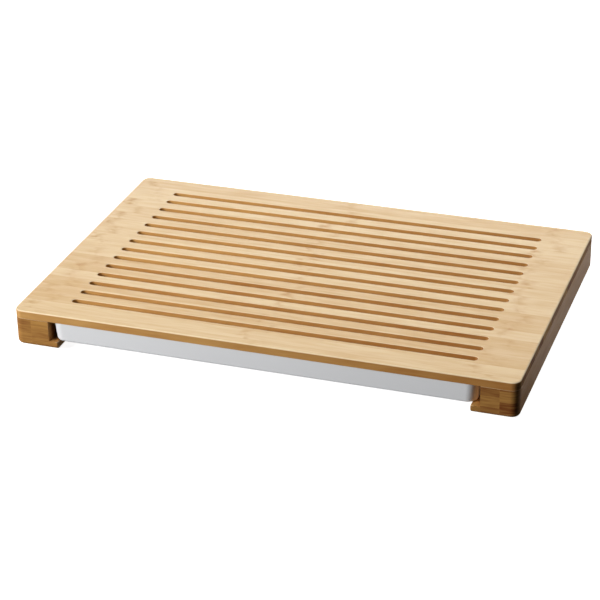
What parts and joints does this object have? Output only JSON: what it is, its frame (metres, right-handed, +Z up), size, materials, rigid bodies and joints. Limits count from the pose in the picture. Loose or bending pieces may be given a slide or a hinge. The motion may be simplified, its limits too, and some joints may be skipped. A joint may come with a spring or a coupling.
{
  "type": "bread board with crumb tray",
  "caption": "Slotted bamboo bread board on rebated side rails, with a shallow white crumb tray that pulls out at the front under the slots.",
  "frame": {"origin": "middle of the footprint, on the surface that the feet stand on", "axes": "+X along the board, -Y to the front where the tray is pulled, +Z up out of the slotted face"},
  "size_m": [0.475, 0.318, 0.038],
  "materials": {
    "bamboo_panel": "sanded and oiled, satin",
    "bamboo_rail": "sanded and oiled, satin",
    "tray_plastic": "moulded, satin white",
    "foot_rubber": "matte",
    "screw_steel": "zinc plated"
  },
  "bodies": {
    "board": {"slotted_board": "bamboo_panel", "left_rail": "bamboo_rail", "right_rail": "bamboo_rail", "back_strip": "bamboo_rail", "foot_front_left": "foot_rubber", "foot_back_left": "foot_rubber", "foot_front_right": "foot_rubber", "foot_back_right": "foot_rubber", "screw_left_front": "screw_steel", "screw_left_middle": "screw_steel", "screw_left_back": "screw_steel", "screw_right_front": "screw_steel", "screw_right_middle": "screw_steel", "screw_right_back": "screw_steel", "screw_strip_left": "screw_steel", "screw_strip_middle": "screw_steel", "screw_strip_right": "screw_steel"},
    "tray": {"crumb_tray": "tray_plastic"}
  },
  "joints": [
    {"name": "tray_slide", "type": "slide", "parent": "board", "child": "tray", "axis": [0, -1, 0], "range_m": [0, 0.31]}
  ]
}
